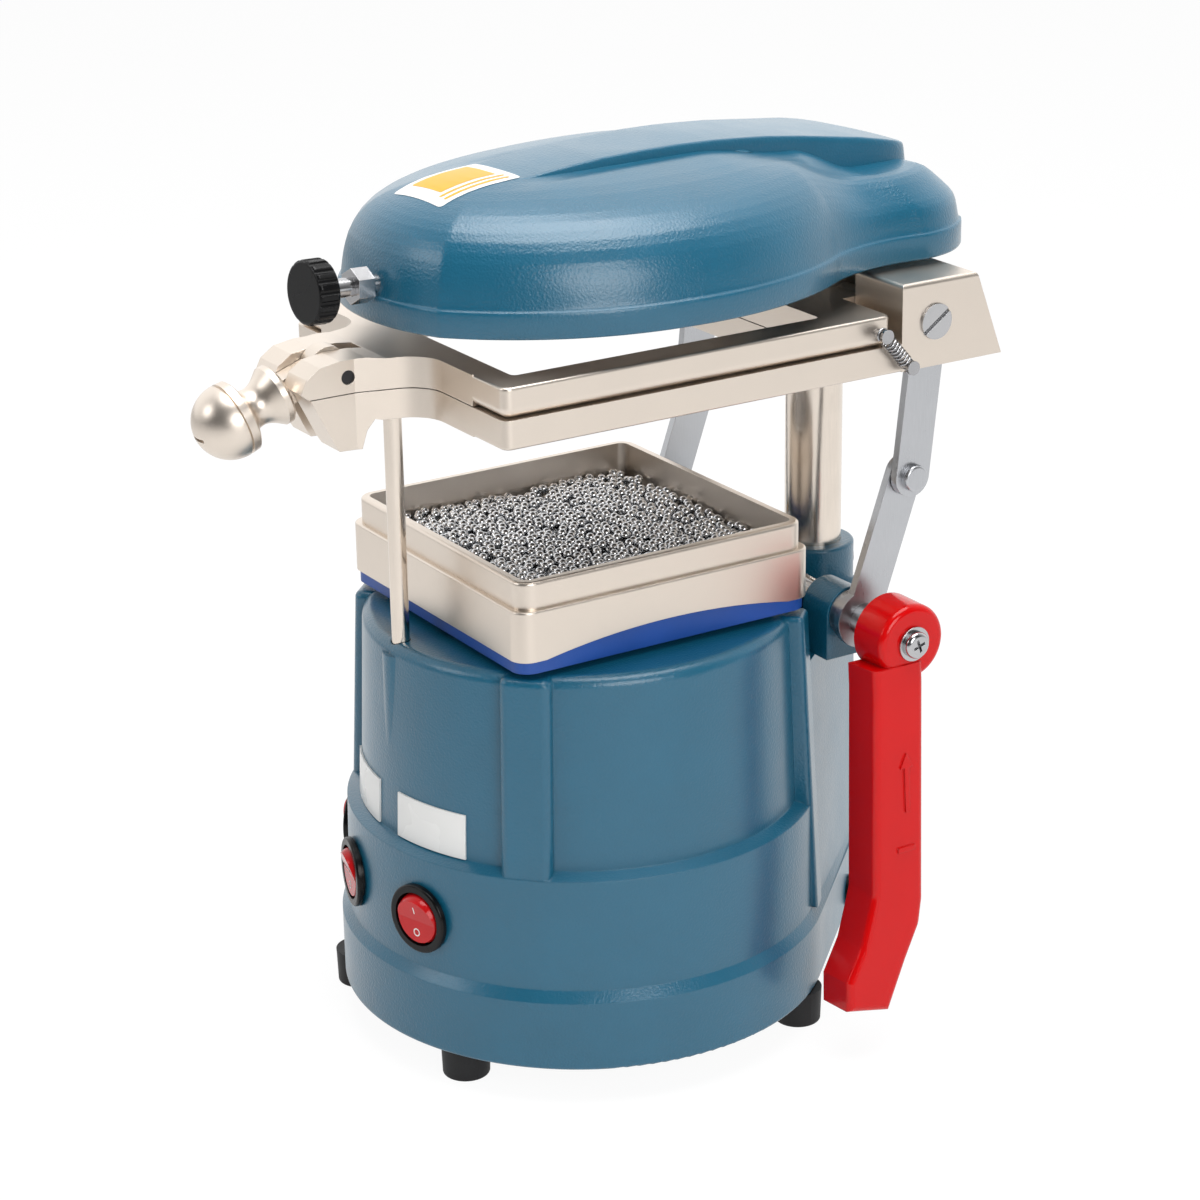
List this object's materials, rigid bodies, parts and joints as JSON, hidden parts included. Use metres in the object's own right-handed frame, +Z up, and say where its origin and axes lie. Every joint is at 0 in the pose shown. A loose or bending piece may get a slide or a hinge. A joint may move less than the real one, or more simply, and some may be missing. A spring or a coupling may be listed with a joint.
{
  "type": "dental vacuum former",
  "caption": "Bench vacuum former for dental sheets: swing-out heater on a post, hinged clamping frame lowered by a side lever onto a suction box with a ball tray.",
  "frame": {"origin": "on the table plane, under the centre of the round base and of the suction box", "axes": "+Z up, -Y the front with the switches and the clamp handle, +X the side of the red lever"},
  "size_m": [0.185, 0.2679, 0.3042],
  "materials": {
    "blue_paint": "fine orange-peel stove enamel, semi-gloss",
    "satin_nickel": "satin nickel-plated casting, fine brushed grain",
    "grey_steel": "ground steel bar",
    "polished_steel": "polished",
    "spring_steel": "bright drawn wire",
    "red_enamel": "glossy red powder coat",
    "black_plastic": "fine-textured",
    "black_gloss": "moulded",
    "red_rocker": "translucent red",
    "rubber_black": "moulded rubber",
    "blue_rubber": "royal blue silicone rubber",
    "white_plate": "blank adhesive plate",
    "bronze": "sintered bronze",
    "dark_steel": "black oxide",
    "bright_sheet": "bright rolled sheet",
    "ceramic_wool": "pressed ceramic fibre",
    "element_sheath": "heat-browned tube",
    "motor_black": "black paint"
  },
  "bodies": {
    "base": {"base_housing": "blue_paint", "base_plate": "dark_steel", "base_plate_screws": "polished_steel", "rubber_feet": "rubber_black", "feet_screws": "polished_steel", "vacuum_motor": "motor_black", "motor_bearings": "polished_steel", "turbine_housing": "bright_sheet", "turbine_seal": "rubber_black", "rear_bracket": "blue_paint", "bracket_bolts": "dark_steel", "shaft_bushes": "bronze", "post": "satin_nickel", "post_set_screws": "dark_steel", "guide_bush": "bronze", "heater_lead": "black_plastic", "cable_gland": "black_plastic", "box_gasket": "blue_rubber", "vacuum_box": "satin_nickel", "suction_screen": "bright_sheet", "switch_bezels": "black_gloss", "label_plates": "white_plate"},
    "rotor": {"turbine_rotor": "bright_sheet"},
    "tray": {"ball_tray": "satin_nickel", "ball_bed": "polished_steel"},
    "carriage": {"lower_frame": "satin_nickel", "post_bush": "bronze", "guide_rod": "satin_nickel", "frame_hinge_pins": "polished_steel", "link_screws": "dark_steel", "lower_spring_pegs": "polished_steel"},
    "clamp_frame": {"upper_frame": "satin_nickel", "upper_spring_pegs": "polished_steel", "handle_pivot_pin": "dark_steel", "frame_springs": "spring_steel"},
    "handle": {"handle_tongue": "satin_nickel", "ball_handle": "satin_nickel"},
    "lever": {"cross_shaft": "grey_steel", "crank_right": "grey_steel", "crank_left": "grey_steel", "shaft_collars": "grey_steel", "lever_arm": "red_enamel", "lever_screw": "polished_steel", "lever_washer": "polished_steel"},
    "links": {"link_right": "grey_steel", "link_left": "grey_steel", "link_pins": "polished_steel"},
    "heater": {"heater_shell": "blue_paint", "heater_studs": "bright_sheet", "heater_reflector": "bright_sheet", "heating_element": "element_sheath", "heater_insulation": "ceramic_wool", "heater_hub": "dark_steel", "hub_screws": "polished_steel", "knob_stud": "polished_steel", "knob_nut": "polished_steel", "heat_knob": "black_gloss"},
    "heat_switch": {"rocker_heat": "red_rocker"},
    "vacuum_switch": {"rocker_vacuum": "red_rocker"},
    "power_switch": {"rocker_power": "red_rocker"}
  },
  "joints": [
    {"name": "turbine_spin", "type": "hinge", "parent": "base", "child": "rotor", "pos_m": [0, 0, 0.08], "axis": [0, 0, 1], "continuous": true},
    {"name": "tray_lift", "type": "slide", "parent": "base", "child": "tray", "axis": [0, 0, 1], "range_m": [0, 0.04]},
    {"name": "carriage_slide", "type": "slide", "parent": "base", "child": "carriage", "axis": [0, 0, 1], "range_m": [-0.0685, 0]},
    {"name": "clamp_frame_open", "type": "hinge", "parent": "carriage", "child": "clamp_frame", "pos_m": [0, 0.089, 0.2454], "axis": [-1, 0, 0], "range_deg": [0, 3], "deforming": ["frame_springs"]},
    {"name": "handle_lift", "type": "hinge", "parent": "clamp_frame", "child": "handle", "pos_m": [0, -0.0922, 0.2449], "axis": [-1, 0, 0], "range_deg": [0, 45]},
    {"name": "lever_swing", "type": "hinge", "parent": "base", "child": "lever", "pos_m": [0, 0.0733, 0.144], "axis": [1, 0, 0], "range_deg": [-87.25, 0]},
    {"name": "link_swing", "type": "hinge", "parent": "carriage", "child": "links", "pos_m": [0, 0.0965, 0.245], "axis": [1, 0, 0], "range_deg": [0, 34.93]},
    {"name": "heater_swing", "type": "hinge", "parent": "base", "child": "heater", "pos_m": [0, 0.0979, 0.27], "axis": [0, 0, 1], "range_deg": [-110, 110]},
    {"name": "heat_rocker", "type": "hinge", "parent": "base", "child": "heat_switch", "pos_m": [0.02342, -0.0766, 0.0585], "axis": [-0.9563, -0.2924, 0], "range_deg": [0, 16]},
    {"name": "vacuum_rocker", "type": "hinge", "parent": "base", "child": "vacuum_switch", "pos_m": [-0.01938, -0.07772, 0.0585], "axis": [-0.9703, 0.2419, 0], "range_deg": [0, 16]},
    {"name": "power_rocker", "type": "hinge", "parent": "base", "child": "power_switch", "pos_m": [-0.05664, -0.05664, 0.0585], "axis": [-0.7071, 0.7071, 0], "range_deg": [0, 16]}
  ],
  "couplings": [
    {"joint": "lever_swing", "follows": "carriage_slide", "rad_per_m": 22.226},
    {"joint": "link_swing", "follows": "carriage_slide", "rad_per_m": -8.8958}
  ]
}
